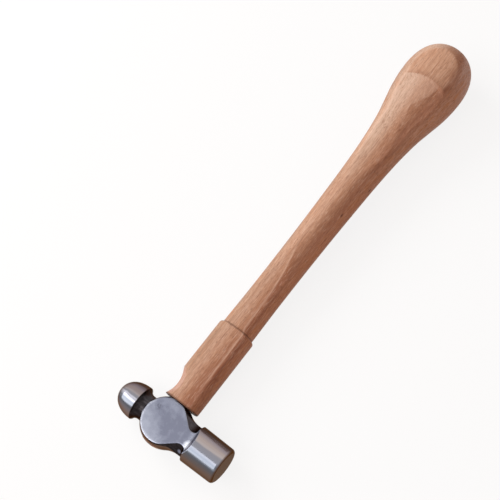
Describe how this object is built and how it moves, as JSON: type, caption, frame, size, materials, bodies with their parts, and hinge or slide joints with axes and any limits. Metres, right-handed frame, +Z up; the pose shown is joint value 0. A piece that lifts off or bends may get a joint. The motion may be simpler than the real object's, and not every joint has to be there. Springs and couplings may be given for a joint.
{
  "type": "jewellers hammer",
  "caption": "Small ball pein jewellers hammer with a ground steel head and a turned beech handle whose bulb-shaped grip has sanded thumb hollows, lying on its cheek.",
  "frame": {"origin": "On the bench surface under the middle of the hammer's bounding box", "axes": "+X from the ball towards the poll, +Y from the head towards the bulb of the handle, +Z up from the bench"},
  "size_m": [0.063, 0.2566, 0.0312],
  "materials": {
    "head_steel": "satin ground cheeks, polished ball and poll",
    "handle_wood": "turned and sanded beech, lightly oiled",
    "wedge_wood": "sawn end grain",
    "wedge_steel": "dull stamped steel"
  },
  "bodies": {
    "root": {"hammer_head": "head_steel", "handle": "handle_wood", "wood_wedge": "wedge_wood", "steel_wedge": "wedge_steel"}
  },
  "joints": []
}
